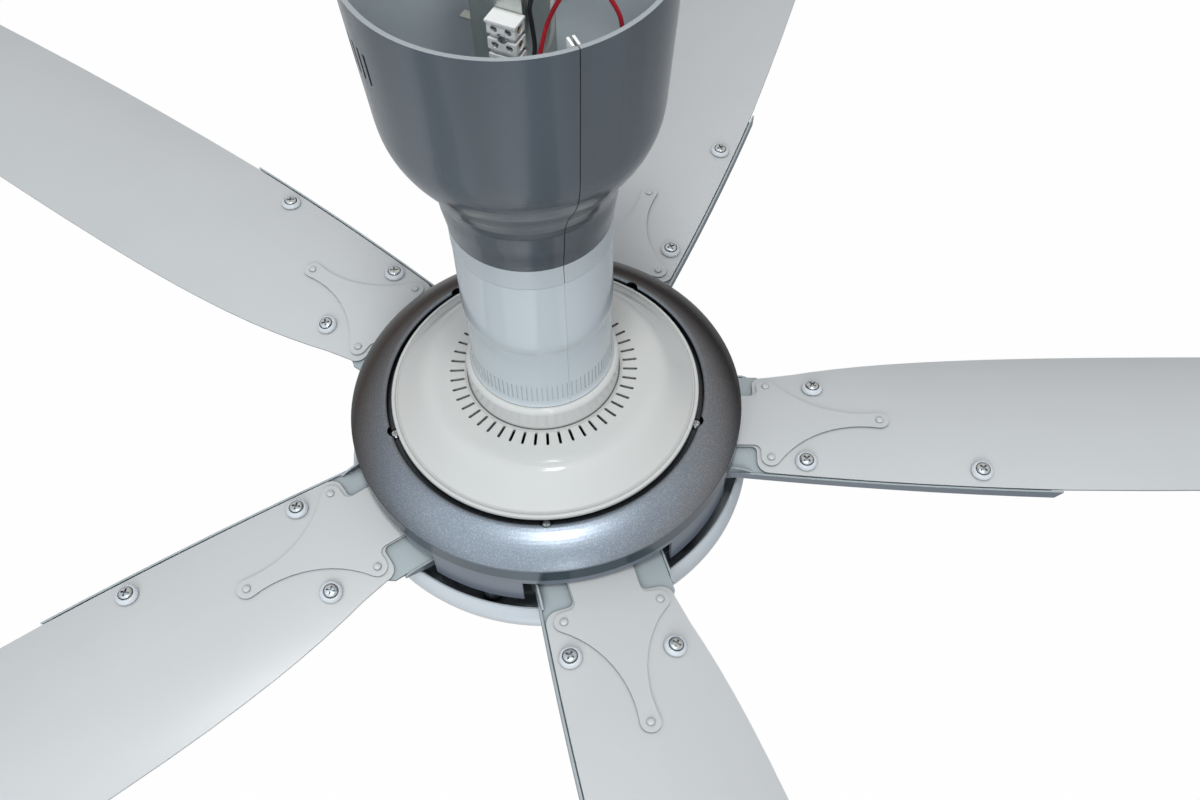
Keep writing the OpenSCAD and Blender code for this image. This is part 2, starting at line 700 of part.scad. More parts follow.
module motor_housing_top() color("#a3a9ab") {
    at_hub()
    difference() {
        union() {
            difference() {
                union() {
                    translate([0, 0, case_split]) cylinder(r = case_r, h = case_top - case_split);
                    translate([0, 0, case_top - 4.5]) cylinder(r = 118, h = 2.3);
                    translate([0, 0, case_top - 1]) cylinder(r = 26, h = 8);
                }
                translate([0, 0, case_split - 1]) cylinder(r = cage_r + fit, h = 15);
                translate([0, 0, case_split - 1]) cylinder(r = 78, h = case_top - case_split - 3);
            }
            translate([0, 0, 3]) cylinder(r = bearing_r + 5, h = 8);
        }
        translate([0, 0, 1]) cylinder(r = bearing_r + 0.05, h = 15.3);
        cylinder(r = 12, h = 40);
        for (i = [0:4]) {
            rotate([0, 0, blade_phase + ring_screw_az + i * step])
                translate([ring_screw_r, 0, 0]) cylinder(r = 2.2, h = 20);
            rotate([0, 0, blade_phase + 36 + i * step])
                translate([case_screw_r, 0, case_split - 1]) cylinder(r = 1.6, h = 50);
        }
        for (i = [0:9]) rotate([0, 0, 18 + i * 36]) translate([36, -3, 0]) cube([24, 6, 20]);
    }
}

module motor_housing_bottom() color("#a3a9ab") {
    at_hub()
    difference() {
        union() {
            translate([0, 0, case_low]) cylinder(r = 84, h = 10);
            translate([0, 0, case_low + 6]) cylinder(r = case_r, h = case_split - case_low - 6 - fit);
            translate([0, 0, plate_z - 4]) cylinder(r = 134, h = 4);
            for (i = [0:4]) rotate([0, 0, blade_phase + 36 + i * step])
                translate([pillar_r, 0, plate_z - 1])
                    cylinder(r = 5, h = wall_top_z - 2 - fit - plate_z + 1);
        }
        difference() {
            translate([0, 0, case_low + 4]) cylinder(r = 78, h = 100);
            translate([0, 0, case_low]) cylinder(r = bearing_r + 5, h = 14.3);
        }
        translate([0, 0, stack_low - fit]) cylinder(r = cage_r + fit, h = 60);
        translate([0, 0, case_low + 2 - 0.1]) cylinder(r = bearing_r + 0.05, h = 100);
        translate([0, 0, case_low - 1]) cylinder(r = 15, h = 10);
        for (i = [0:4]) {
            rotate([0, 0, blade_phase + 36 + i * step]) {
                translate([pillar_r, 0, -30]) cylinder(r = 1.8, h = 40);
                translate([case_screw_r, 0, case_split - 16]) cylinder(r = 1.6, h = 40);
                translate([pillar_r, 0, plate_z - 5]) cylinder(r = 1.8, h = 12);
            }
            rotate([0, 0, blade_phase + i * step])
                for (p = arm_bolt_pts) translate([p[0], p[1], plate_z - 5]) cylinder(r = 2.3, h = 10);
        }
    }
}

module housing_screws() color("#b5b9bb") {
    at_hub()
    for (i = [0:4]) rotate([0, 0, blade_phase + 36 + i * step])
        translate([case_screw_r, 0, case_top]) pan_screw(2.8, 2.4, 1.3, case_top - case_split + 12);
}

ring_outer = concat(
    bez([ring_lip_r, 15.4], [ring_lip_r, 18.2], [ring_lip_r + 1.6, 18.6], [ring_lip_r + 4, 18.1], 5),
    bez([ring_lip_r + 4, 18.1], [126, 16], [134.5, 10.6], [139.8, 5.2], 10),
    [[139.8, 5.2], [ring_r - 0.5, 3.4], [ring_r, 2.6], [ring_r, wall_top_z + fit]]);

module ring_cover() color("#8a93a0") {
    at_hub()
    difference() {
        rotate_extrude()
            polygon(concat(ring_outer, [[ring_r - 2.4, wall_top_z + fit], [ring_r - 2.4, 1]],
                bez([138, 3.4], [133, 8], [126, 13], [ring_lip_r + 4, 15.6], 8),
                [[ring_lip_r + 2.4, 15.2], [ring_lip_r + 2.4, ledge_z - 2.4],
                 [104.5, ledge_z - 2.4], [104.5, ledge_z], [ring_lip_r, ledge_z]]));
        for (i = [0:4]) rotate([0, 0, blade_phase + ring_screw_az + i * step])
            translate([ring_screw_r, 0, 0]) {
                cylinder(r = 2.2, h = 20);
                translate([0, 0, seat_z]) cylinder(r = 5.2, h = 20);
            }
    }
}

module ring_screws() color("#c5c9cb") {
    at_hub()
    for (i = [0:4]) rotate([0, 0, blade_phase + ring_screw_az + i * step])
        translate([ring_screw_r, 0, seat_z]) pan_screw(3.3, 2.4, 1.8, 7);
}

module hub_wall() color("#6b7079") {
    at_hub()
    difference() {
        union() {
            translate([0, 0, hub_low_z]) ring(hub_r, hub_r - hub_wall_t, wall_top_z - hub_low_z);
            translate([0, 0, wall_top_z - 2]) ring(hub_r - 1, 114, 2);
        }
        for (i = [0:4]) {
            rotate([0, 0, blade_phase + i * step])
            difference() {
                translate([0, -120, hub_low_z - 1]) cube([160, 240, opening_top_z - hub_low_z + 1]);
                rotate([0, 0, opening_half]) translate([-10, 0, -60]) cube([200, 200, 60]);
                rotate([0, 0, -opening_half]) translate([-10, -200, -60]) cube([200, 200, 60]);
            }
            rotate([0, 0, blade_phase + 36 + i * step])
                translate([pillar_r, 0, -20]) cylinder(r = 2.2, h = 20);
        }
    }
}

module hub_wall_screws() color("#b5b9bb") {
    at_hub()
    for (i = [0:4]) rotate([0, 0, blade_phase + 36 + i * step])
        translate([pillar_r, 0, wall_top_z]) pan_screw(3.6, 2.4, 1.5, 14);
}

bowl_outer = concat(
    bez([bowl_r - 4, -43.5], [bowl_r - 1.6, -47], [bowl_r, -52], [bowl_r, -58], 6),
    bez([bowl_r, -58], [bowl_r, -78], [bowl_r - 32, bowl_low_z + 6], [bowl_r - 80, bowl_low_z + 1], 14),
    [[bowl_r - 80, bowl_low_z + 1], [44, bowl_low_z], [0, bowl_low_z]]);
bowl_inner = concat([[0, bowl_low_z + bowl_wall], [44, bowl_low_z + bowl_wall]],
    bez([bowl_r - 80, bowl_low_z + 1 + bowl_wall], [bowl_r - 34, bowl_low_z + 7 + bowl_wall],
        [bowl_r - bowl_wall, -77], [bowl_r - bowl_wall, -58], 14),
    [[bowl_r - bowl_wall, -58], [bowl_r - bowl_wall - 0.4, -52], [bowl_r - 5.2, -43.5]]);

module bottom_cover() color("#bac5cd") {
    at_hub()
    difference() {
        union() {
            rotate_extrude() polygon(concat(bowl_outer, bowl_inner));
            intersection() {
                for (i = [0:4]) rotate([0, 0, blade_phase + 36 + i * step])
                    translate([pillar_r, 0, -95]) cylinder(r = 6, h = 95 + plate_z - 4 - fit);
                rotate_extrude() polygon(concat(bowl_outer, [[0, -43.5]]));
            }
        }
        for (i = [0:4]) rotate([0, 0, blade_phase + 36 + i * step])
            translate([pillar_r, 0, -100]) {
                cylinder(r = 2.2, h = 60);
                cylinder(r = 4.4, h = 100 + plate_z - 4 - fit - 6);
            }
    }
}

module bottom_cover_screws() color("#b5b9bb") {
    at_hub()
    for (i = [0:4]) rotate([0, 0, blade_phase + 36 + i * step])
        translate([pillar_r, 0, plate_z - 4 - fit - 6]) rotate([180, 0, 0])
            pan_screw(3.8, 2.6, 1.5, 14);
}

// Blades: outline cut from a cambered shell, with arm, root plate and screws

// Frame on the crown surface at point p, Z along the local normal
module at_skin(p) {
    translate([p[0], 0, -camber_r])
    rotate([-asin(p[1] / camber_r), 0, 0])
    translate([0, 0, camber_r])
    children();
}

module shell(r_out, t) {
    translate([90, 0, -camber_r]) rotate([0, 90, 0]) ring(r_out, r_out - t, blade_tip);
}

blade_points = concat(
    [[114, -tongue_half]],
    arc([root_u - 4, -tongue_half - 4], 4, 90, 0, 4),
    arc([root_u + root_corner_r, lead_edge(root_u + root_corner_r) + root_corner_r],
        root_corner_r, 180, 266, 6),
    [for (u = [190, 215, 240, 270, 300, 335, 372, 430, 490, 550, 610, 670]) if (u < blade_tip - tip_corner_r - 10) [u, lead_edge(u)]],
    arc([blade_tip - tip_corner_r, lead_edge(blade_tip - tip_corner_r) + tip_corner_r],
        tip_corner_r, 274, 358, 6),
    arc([blade_tip - tip_corner_r, trail_edge(blade_tip - tip_corner_r) - tip_corner_r],
        tip_corner_r, 2, 90, 6),
    [for (u = [660, 600, 540, 480, 420, 380, 340, 310, 285, 260, 240, 220, 200, 185])
        if (u < blade_tip - tip_corner_r - 20) [u, trail_edge(u)]],
    arc([root_u + root_corner_r, trail_root_v - 0.6 - root_corner_r], root_corner_r, 86, 180, 6),
    arc([root_u - 4, tongue_half + 4], 4, 0, -90, 4),
    [[114, tongue_half]]);

module blade(k) {
    at_blade(k)
    difference() {
        intersection() {
            shell(camber_r, blade_t);
            translate([0, 0, -26]) linear_extrude(height = 30) polygon(blade_points);
        }
        for (p = screw_pts) at_skin(p) translate([0, 0, -10]) cylinder(r = 2.8, h = 20);
        for (p = rivet_pts) at_skin(p) translate([0, 0, -10]) cylinder(r = 1.9, h = 20);
    }
}
module blade_1() color("#c6cbcd") blade(0);
module blade_2() color("#c6cbcd") blade(1);
module blade_3() color("#c6cbcd") blade(2);
module blade_4() color("#c6cbcd") blade(3);
module blade_5() color("#c6cbcd") blade(4);

// Hollow arc tangent to a root lobe and to the outer lobe
hollow_mid = [(lobe_u + lobe_tip_u) / 2, -lobe_v / 2];
hollow_dir = unit([lobe_tip_u - lobe_u, lobe_v]);
hollow_half = norm([lobe_tip_u - lobe_u, lobe_v]) / 2;
hollow_off = sqrt(pow(hollow_r + lobe_r, 2) - pow(hollow_half, 2));
hollow_c = hollow_mid + hollow_off * [hollow_dir[1], -hollow_dir[0]];
hollow_a1 = atan2(-lobe_v - hollow_c[1], lobe_u - hollow_c[0]);
hollow_a2 = atan2(-hollow_c[1], lobe_tip_u - hollow_c[0]);
tripod_half = concat(
    [[116, -tongue_half + 0.6]],
    arc([lobe_u - lobe_r - 5, -tongue_half - 4.4], 5, 90, 0, 4),
    arc([lobe_u, -lobe_v], lobe_r, 180, 180 + hollow_a1, 10),
    arc_on(hollow_c, hollow_r, hollow_a1, hollow_a2, 12),
    arc_on([lobe_tip_u, 0], lobe_r, hollow_a2 - 180, 0, 6));
tripod_points = concat(tripod_half,
    [for (i = [len(tripod_half) - 2:-1:0]) [tripod_half[i][0], -tripod_half[i][1]]]);

module root_plate(k) {
    at_blade(k)
    difference() {
        intersection() {
            shell(camber_r + fit + root_plate_t, root_plate_t);
            translate([0, 0, -20]) linear_extrude(height = 24) polygon(tripod_points);
        }
        for (p = rivet_pts) at_skin(p) translate([0, 0, -10]) cylinder(r = 1.9, h = 20);
    }
}
module root_plate_1() color("#c9cecf") root_plate(0);
module root_plate_2() color("#c9cecf") root_plate(1);
module root_plate_3() color("#c9cecf") root_plate(2);
module root_plate_4() color("#c9cecf") root_plate(3);
module root_plate_5() color("#c9cecf") root_plate(4);

flange_us = [114, 135, 158, 190, 220, 250, 280, 310, 340, arm_end_u];
arm_floor = concat([for (u = [119, 135, 158, 190, 220, 250, 280, 310, 340, arm_end_u - 8])
        [u, bar_line(u) + 0.8]],
    [[arm_end_u - 8, -46], [arm_end_u - 16, -40], [262, -22]],
    arc([262, 42], 48, 235, 190, 8),
    arc([206, 34], 8, 0, 80, 4),
    [[206, 42], [166, 42], [158, 47.4], [119, 47.4]]);
flange_strip = concat([for (u = flange_us) [u, bar_line(u)]],
    [for (i = [len(flange_us) - 1:-1:0]) [flange_us[i], bar_line(flange_us[i]) + flange_t]]);
lead_ear = concat([[114, -21.5]], arc([117, -2.6], 3, 180, 90, 4),
    [[134, 0.4], [142, -1], [150, -4.6], [150, -9.6], [130, -11.4], [124, -21.5]]);
trail_ear = [[114, -13.5], [114, -5.4], [147, -5.4], [151, -7.2], [151, -8.6], [138, -12],
    [132, -13.5]];

module blade_arm(k) {
    at_blade(k)
    difference() {
        union() {
            intersection() {
                shell(camber_r - blade_t - fit, arm_t);
                translate([0, 0, -20]) linear_extrude(height = 24) polygon(arm_floor);
            }
            difference() {
                translate([0, 0, -16]) linear_extrude(height = 16) polygon(flange_strip);
                translate([90, -100, -4]) rotate([0, 0.5, 0]) cube([400, 100, 20]);
                translate([90, -100, -3.1 - flange_h]) rotate([0, 0.8, 0])
                    translate([0, 0, -20]) cube([400, 100, 20]);
            }
            translate([0, bar_line(132) + flange_t, 0]) rotate([90, 0, 0])
                linear_extrude(height = flange_t) polygon(lead_ear);
            translate([0, 49.2, 0]) rotate([90, 0, 0])
                linear_extrude(height = flange_t) polygon(trail_ear);
        }
        translate([arm_end_u, -100, -6.5]) rotate([0, 40, 0]) translate([0, 0, -40])
            cube([50, 200, 80]);
        for (p = screw_pts) at_skin(p) translate([0, 0, -10]) cylinder(r = 2.6, h = 20);
        for (p = rivet_pts) at_skin(p) translate([0, 0, -10]) cylinder(r = 3.2, h = 20);
        translate([150, -14, -20]) cylinder(r = 7, h = 30);
        translate([150, 14, -20]) cylinder(r = 7, h = 30);
    }
    at_hub()
    rotate([0, 0, blade_phase - step * k])
    difference() {
        translate([92, -47, plate_z + 0.02]) cube([28, 95, 2.3]);
        for (p = arm_bolt_pts) translate([p[0], p[1], plate_z - 5]) cylinder(r = 2.6, h = 10);
    }
}
module blade_arm_1() color("#9daaac") blade_arm(0);
module blade_arm_2() color("#9daaac") blade_arm(1);
module blade_arm_3() color("#9daaac") blade_arm(2);
module blade_arm_4() color("#9daaac") blade_arm(3);
module blade_arm_5() color("#9daaac") blade_arm(4);

module blade_rivets() color("#c2c7c9") {
    top = root_plate_t + fit;
    for (k = [0:blades - 1], p = rivet_pts) at_blade(k) at_skin(p) {
        translate([0, 0, top + 0.02]) cylinder(r1 = 2.7, r2 = 2.2, h = 1.2);
        translate([0, 0, -blade_t - 0.5]) cylinder(r = 1.5, h = top + blade_t + 1);
        translate([0, 0, -blade_t - 1.2]) cylinder(r = 2.5, h = 1.18);
    }
}

module blade_washers() color("#cdd2d5") {
    for (k = [0:blades - 1], p = screw_pts) at_blade(k) at_skin(p)
        difference() {
            union() {
                translate([0, 0, 0.02]) cylinder(d = washer_d, h = washer_t - 0.8);
                translate([0, 0, washer_t - 0.78]) cylinder(d1 = washer_d, d2 = washer_d - 2, h = 0.8);
            }
            translate([0, 0, -5]) cylinder(r = 2.8, h = 20);
        }
}

module blade_screws() color("#c9cdd0") {
    for (k = [0:blades - 1], p = screw_pts) at_blade(k) at_skin(p)
        translate([0, 0, washer_t + 0.04]) pan_screw(screw_head_d / 2, 3.2, 2.4, 12);
}

module arm_screws() color("#b5b9bb") {
    at_hub()
    for (k = [0:blades - 1]) rotate([0, 0, blade_phase - step * k])
        for (p = arm_bolt_pts)
            translate([p[0], p[1], plate_z + 2.32]) pan_screw(4.4, 3, 2.1, 8);
}

ceiling_bracket();
cross_bolts();
cross_nuts();
hanger_bushes();
down_pipe();
terminal_block();
terminal_inserts();
terminal_screws();
terminal_fixings();
lead_red();
lead_white();
lead_black();
lead_return();
canopy_half_left();
canopy_half_right();
canopy_clips();
lower_cover_left();
lower_cover_right();
cover_collar();
motor_top_cover();
top_cover_screws();
pipe_coupling();
run_capacitor();
capacitor_screw();
motor_shaft();
shaft_nut();
stator_core();
stator_winding();
bearing_upper();
bearing_lower();
rotor_cage();
motor_housing_top();
motor_housing_bottom();
housing_screws();
ring_cover();
ring_screws();
hub_wall();
hub_wall_screws();
bottom_cover();
bottom_cover_screws();
blade_1();
blade_2();
blade_3();
blade_4();
blade_5();
blade_arm_1();
blade_arm_2();
blade_arm_3();
blade_arm_4();
blade_arm_5();
root_plate_1();
root_plate_2();
root_plate_3();
root_plate_4();
root_plate_5();
blade_rivets();
blade_washers();
blade_screws();
arm_screws();
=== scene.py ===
# %% [markdown]
# A ceiling fan on a short down pipe, seen from above. The CAD model gives every rigid piece at its
# true size. This script loads it as a fixed frame, stages it as in the photograph, makes a finish
# for each material, and models the small pieces whose roundings carry the highlights.

# %% Load the frame
import json
import math

import bmesh
import bpy
from mathutils import Matrix, Vector


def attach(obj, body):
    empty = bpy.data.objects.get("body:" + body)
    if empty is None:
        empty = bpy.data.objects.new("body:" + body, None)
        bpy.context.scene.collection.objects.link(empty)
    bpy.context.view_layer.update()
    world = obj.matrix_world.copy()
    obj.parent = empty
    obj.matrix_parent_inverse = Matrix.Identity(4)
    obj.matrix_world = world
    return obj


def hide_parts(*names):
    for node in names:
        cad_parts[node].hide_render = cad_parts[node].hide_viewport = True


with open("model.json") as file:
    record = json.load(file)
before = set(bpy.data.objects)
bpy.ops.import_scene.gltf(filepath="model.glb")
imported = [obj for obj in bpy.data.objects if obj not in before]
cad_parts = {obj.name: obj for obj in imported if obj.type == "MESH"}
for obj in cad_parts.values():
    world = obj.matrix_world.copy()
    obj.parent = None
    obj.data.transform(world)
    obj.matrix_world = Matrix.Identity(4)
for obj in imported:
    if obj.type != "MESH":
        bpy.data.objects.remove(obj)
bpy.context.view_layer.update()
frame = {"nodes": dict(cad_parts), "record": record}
nodes = frame["nodes"]

# %% [markdown]
# The camera stands where the photographer stood. Its place was solved from the circles of the
# covers, so it is written down as an eye point and three directions. The eye is 35 cm above the
# ceiling plane, so there is no ceiling here, as there is none in the photograph.

# %% Camera
EYE = Vector((0.012134, -0.522673, 0.349914))
LOOK = Vector((0.03000866, 0.57934001, -0.81453338))
RIGHT = Vector((0.99735593, -0.07131445, -0.01397856))
UP = Vector((0.06618634, 0.81196022, 0.57994824))

cam_data = bpy.data.cameras.new("photo_camera")
cam_data.sensor_width = 36.0
cam_data.lens = 36.816
cam_data.clip_start = 0.01
cam_data.clip_end = 60.0
camera = bpy.data.objects.new("photo_camera", cam_data)
bpy.context.scene.collection.objects.link(camera)
turn = Matrix((RIGHT, UP, -LOOK)).transposed().to_4x4()
camera.matrix_world = Matrix.Translation(EYE) @ turn
bpy.context.scene.camera = camera
print("camera eye:", tuple(round(v, 3) for v in EYE))


# %% [markdown]
# Colours are written as sRGB hex values, as a paint chart gives them, and turned to the linear
# values that the renderer mixes light with. A pattern is sized in millimetres, and a texture's
# scale is how many of its cells fit in a metre.

# %% Colours and scales
def linear(hex_value):
    """Linear red, green, blue and alpha of an sRGB hex colour."""
    parts = [int(hex_value[i:i + 2], 16) / 255 for i in (1, 3, 5)]
    return [c / 12.92 if c <= 0.04045 else ((c + 0.055) / 1.055) ** 2.4 for c in parts] + [1.0]


def shade(colour, factor):
    """A linear colour made darker, or lighter up to full."""
    return [min(1.0, c * factor) for c in colour[:3]] + [1.0]


def per_metre(cell_mm):
    """How many cells of this size fit in a metre."""
    return 1000 / cell_mm


print("white is", linear("#ffffff"), "and a 1 mm grain has the scale", per_metre(1.0))


# %% [markdown]
# Every finish below is a small network of nodes. One helper adds a node, sets it and links it, so
# that a network reads from top to bottom.

# %% Helpers for nodes
def lay(tree, kind, pins=None, **settings):
    """Adds one node. A pin's value is a colour, a number, or another node's output to link."""
    node = tree.nodes.new(kind)
    for key, value in settings.items():
        setattr(node, key, value)
    for key, value in (pins or {}).items():
        if isinstance(value, bpy.types.NodeSocket):
            tree.links.new(value, node.inputs[key])
        else:
            node.inputs[key].default_value = value
    return node


def blank(name):
    """A material with an empty network and its output node."""
    mat = bpy.data.materials.new(name)
    mat.use_nodes = True
    mat.node_tree.nodes.clear()
    return mat, mat.node_tree, lay(mat.node_tree, "ShaderNodeOutputMaterial")


print("helpers ready: lay, blank")


# %% [markdown]
# The backdrop is a plain white sweep, far below the fan as a room's floor is. The camera sees it
# glow white, and a hundredth of its brightness still comes from the lamps, so that it keeps the
# shadow. Reflections see a floor with a soft pool of light in front, brighter on the left and
# darker behind, because the upright canopy mirrors the floor and its sheen in the photo runs so.

# %% Floor
FLOOR_Z = -2.4
FLOOR_HALF = 20.0
NEAR_Y, FAR_Y = -1.6, 1.2
SIDE_X = 1.6
POOL = (0, -1.7, FLOOR_Z)
POOL_CORE, POOL_EDGE = 0.2, 1.3
GLOW_SHARE = 0.99


def white_floor():
    mat, tree, out = blank("matt_white_sweep")
    where = lay(tree, "ShaderNodeTexCoord").outputs["Object"]
    place = lay(tree, "ShaderNodeSeparateXYZ", {0: where})
    grain = lay(tree, "ShaderNodeTexNoise", {"Vector": where, "Scale": per_metre(25.0),
        "Detail": 2.0})
    tint = lay(tree, "ShaderNodeMix", {"Factor": grain.outputs["Fac"], "A": linear("#a4a4a6"),
        "B": linear("#adadae")}, data_type="RGBA")
    card = lay(tree, "ShaderNodeBsdfDiffuse", {"Color": tint.outputs["Result"]})
    away = lay(tree, "ShaderNodeMapRange", {"Value": place.outputs["Y"], "From Min": NEAR_Y,
        "From Max": FAR_Y}, interpolation_type="SMOOTHSTEP")
    fade = lay(tree, "ShaderNodeMix", {"Factor": away.outputs["Result"], "A": linear("#ffffff"),
        "B": linear("#c2c5c8")}, data_type="RGBA")
    from_pool = lay(tree, "ShaderNodeVectorMath", {0: where, 1: POOL}, operation="DISTANCE")
    pool = lay(tree, "ShaderNodeMapRange", {"Value": from_pool.outputs["Value"],
        "From Min": POOL_CORE, "From Max": POOL_EDGE, "To Min": 1.45, "To Max": 0.95},
        interpolation_type="SMOOTHSTEP")
    side = lay(tree, "ShaderNodeMapRange", {"Value": place.outputs["X"], "From Min": -SIDE_X,
        "From Max": SIDE_X, "To Min": 1.2, "To Max": 0.84})
    glare = lay(tree, "ShaderNodeMath", {0: pool.outputs["Result"], 1: side.outputs["Result"]},
        operation="MULTIPLY")
    mirrored = lay(tree, "ShaderNodeVectorMath", {0: fade.outputs["Result"],
        "Scale": glare.outputs[0]}, operation="SCALE")
    ray = lay(tree, "ShaderNodeLightPath")
    hue = lay(tree, "ShaderNodeMix", {"Factor": ray.outputs["Is Glossy Ray"],
        "A": linear("#ffffff"), "B": mirrored.outputs[0]}, data_type="RGBA")
    glow = lay(tree, "ShaderNodeEmission", {"Color": hue.outputs["Result"], "Strength": 1.0})
    seen = lay(tree, "ShaderNodeMath", {0: ray.outputs["Is Camera Ray"],
        1: ray.outputs["Is Glossy Ray"]}, operation="MAXIMUM")
    clear = lay(tree, "ShaderNodeMath", {0: seen.outputs[0],
        1: ray.outputs["Is Transmission Ray"]}, operation="MAXIMUM")
    share = lay(tree, "ShaderNodeMath", {0: clear.outputs[0], 1: GLOW_SHARE},
        operation="MULTIPLY")
    both = lay(tree, "ShaderNodeMixShader", {0: share.outputs[0], 1: card.outputs[0],
        2: glow.outputs[0]})
    tree.links.new(both.outputs[0], out.inputs["Surface"])
    return mat


bm = bmesh.new()
bmesh.ops.create_grid(bm, x_segments=1, y_segments=1, size=FLOOR_HALF)
bmesh.ops.translate(bm, vec=(0, 0, FLOOR_Z), verts=bm.verts)
floor_mesh = bpy.data.meshes.new("floor")
bm.to_mesh(floor_mesh)
bm.free()
floor_mesh.materials.append(white_floor())
floor = bpy.data.objects.new("floor", floor_mesh)
bpy.context.scene.collection.objects.link(floor)
print("floor at", FLOOR_Z, "m")

# %% [markdown]
# The world is the room around the fan. It lights the object evenly and shows white to the camera.
# Reflections see a pale room, brighter above and on the camera's side and dark low down at the
# back. That slope gives the round ring and the covers their light and dark sides.

# %% World
TOWARDS_LIGHT = (-0.15, -0.25, 0.4)
ROOM = ((0.2, "#585a60"), (0.42, "#ccc0b6"), (0.64, "#cabfb5"), (0.8, "#bcbec0"),
        (0.93, "#f2f7f8"))

world = bpy.data.worlds.new("studio")
bpy.context.scene.world = world
world.use_nodes = True
tree = world.node_tree
tree.nodes.clear()
ray = lay(tree, "ShaderNodeLightPath")
even = lay(tree, "ShaderNodeBackground", {"Color": linear("#f2f5fa"), "Strength": 0.6})
lean = lay(tree, "ShaderNodeVectorMath", {0: lay(tree, "ShaderNodeTexCoord").outputs["Generated"],
    1: TOWARDS_LIGHT}, operation="DOT_PRODUCT")
level = lay(tree, "ShaderNodeMath", {0: lean.outputs["Value"], 1: 0.5})
room = lay(tree, "ShaderNodeValToRGB", {0: level.outputs[0]})
for stop, (place, hex_value) in zip(room.color_ramp.elements, (ROOM[0], ROOM[-1])):
    stop.position = place
    stop.color = linear(hex_value)
for place, hex_value in ROOM[1:-1]:
    room.color_ramp.elements.new(place).color = linear(hex_value)
shown = lay(tree, "ShaderNodeBackground", {"Color": room.outputs[0], "Strength": 1.0})
white = lay(tree, "ShaderNodeBackground", {"Color": linear("#ffffff"), "Strength": 1.0})
lit = lay(tree, "ShaderNodeMixShader", {0: ray.outputs["Is Glossy Ray"], 1: even.outputs[0],
    2: shown.outputs[0]})
seen = lay(tree, "ShaderNodeMath", {0: ray.outputs["Is Camera Ray"],
    1: ray.outputs["Is Transmission Ray"]}, operation="MAXIMUM")
full = lay(tree, "ShaderNodeMixShader", {0: seen.outputs[0], 1: lit.outputs[0],
    2: white.outputs[0]})
sky = lay(tree, "ShaderNodeOutputWorld")
tree.links.new(full.outputs[0], sky.inputs["Surface"])
print("world stops:", len(room.color_ramp.elements))


# %% [markdown]
# Two small softboxes make the bright spots: one hangs nearly overhead, a little to the front, and
# one stands far in front. The spots on the ring, on the shoulder of the motor cover and on the
# collar point back to them. Two fills soften the light on the object and are kept out of the
# reflections.

# %% Lamps
HUB = Vector((0, 0, -0.35))


def softbox(name, place, side, watts, hex_value="#ffffff", mirrored=True):
    """A square lamp that looks at the hub. Place and side are in metres."""
    data = bpy.data.lights.new(name, "AREA")
    data.shape = "RECTANGLE"
    data.size = side
    data.size_y = side
    data.energy = watts
    data.color = linear(hex_value)[:3]
    lamp = bpy.data.objects.new(name, data)
    lamp.location = place
    lamp.rotation_euler = (HUB - Vector(place)).to_track_quat("-Z", "Y").to_euler()
    lamp.visible_glossy = mirrored
    bpy.context.scene.collection.objects.link(lamp)


softbox("overhead_softbox", (0.03, -0.5, 1.22), 0.2, 5.8)
softbox("overhead_fill", (0.03, -0.5, 1.2), 0.3, 4.8, mirrored=False)
softbox("front_softbox", (0.25, -2.6, 0.9), 0.16, 2.2)
softbox("front_fill", (-0.7, -3.1, 1.4), 1.8, 50.5, "#f6f9ff", mirrored=False)
bpy.context.scene.view_settings.view_transform = "Standard"


# %% [markdown]
# Two things are the same in many finishes. Narrow corners are painted darker, as painted shade,
# where an Ambient Occlusion node finds another surface close. And a mask, for a paint region or
# for painted shade, depends on which way a face looks from the turning axis, which the face's own
# direction tells, so it stays put in every view.

# %% Corners and directions
def paint_nook_shade(tree, colour, reach_mm, darkest):
    """The colour, darker where another surface stands close: painted shade."""
    nook_shade = lay(tree, "ShaderNodeAmbientOcclusion", {"Distance": reach_mm / 1000}, samples=6)
    painted_shade = lay(tree, "ShaderNodeMapRange", {"Value": nook_shade.outputs["AO"], "From Min": 0.35,
        "From Max": 0.95, "To Min": darkest, "To Max": 1.0})
    shaded = lay(tree, "ShaderNodeVectorMath", {0: colour, "Scale": painted_shade.outputs["Result"]},
        operation="SCALE")
    return shaded.outputs[0]


def outward(tree, coords):
    """How far a face looks away from the axis: 1 outside, 0 above and below, -1 inside."""
    flat = lay(tree, "ShaderNodeVectorMath", {0: coords.outputs["Object"], 1: (1, 1, 0)},
        operation="MULTIPLY")
    spoke = lay(tree, "ShaderNodeVectorMath", {0: flat.outputs[0]}, operation="NORMALIZE")
    return lay(tree, "ShaderNodeVectorMath", {0: spoke.outputs[0], 1: coords.outputs["Normal"]},
        operation="DOT_PRODUCT").outputs["Value"]


finishes = {}
print("patterns ready: paint_nook_shade, outward")


# %% [markdown]
# Moulded plastic has a colour that goes right through and a faint unevenness from the mould. The
# grain is drawn at a fraction of a millimetre and moves the gloss more than the colour. A polished
# mould gives a glossy piece, and a rubber bush from a blasted one stays matt.

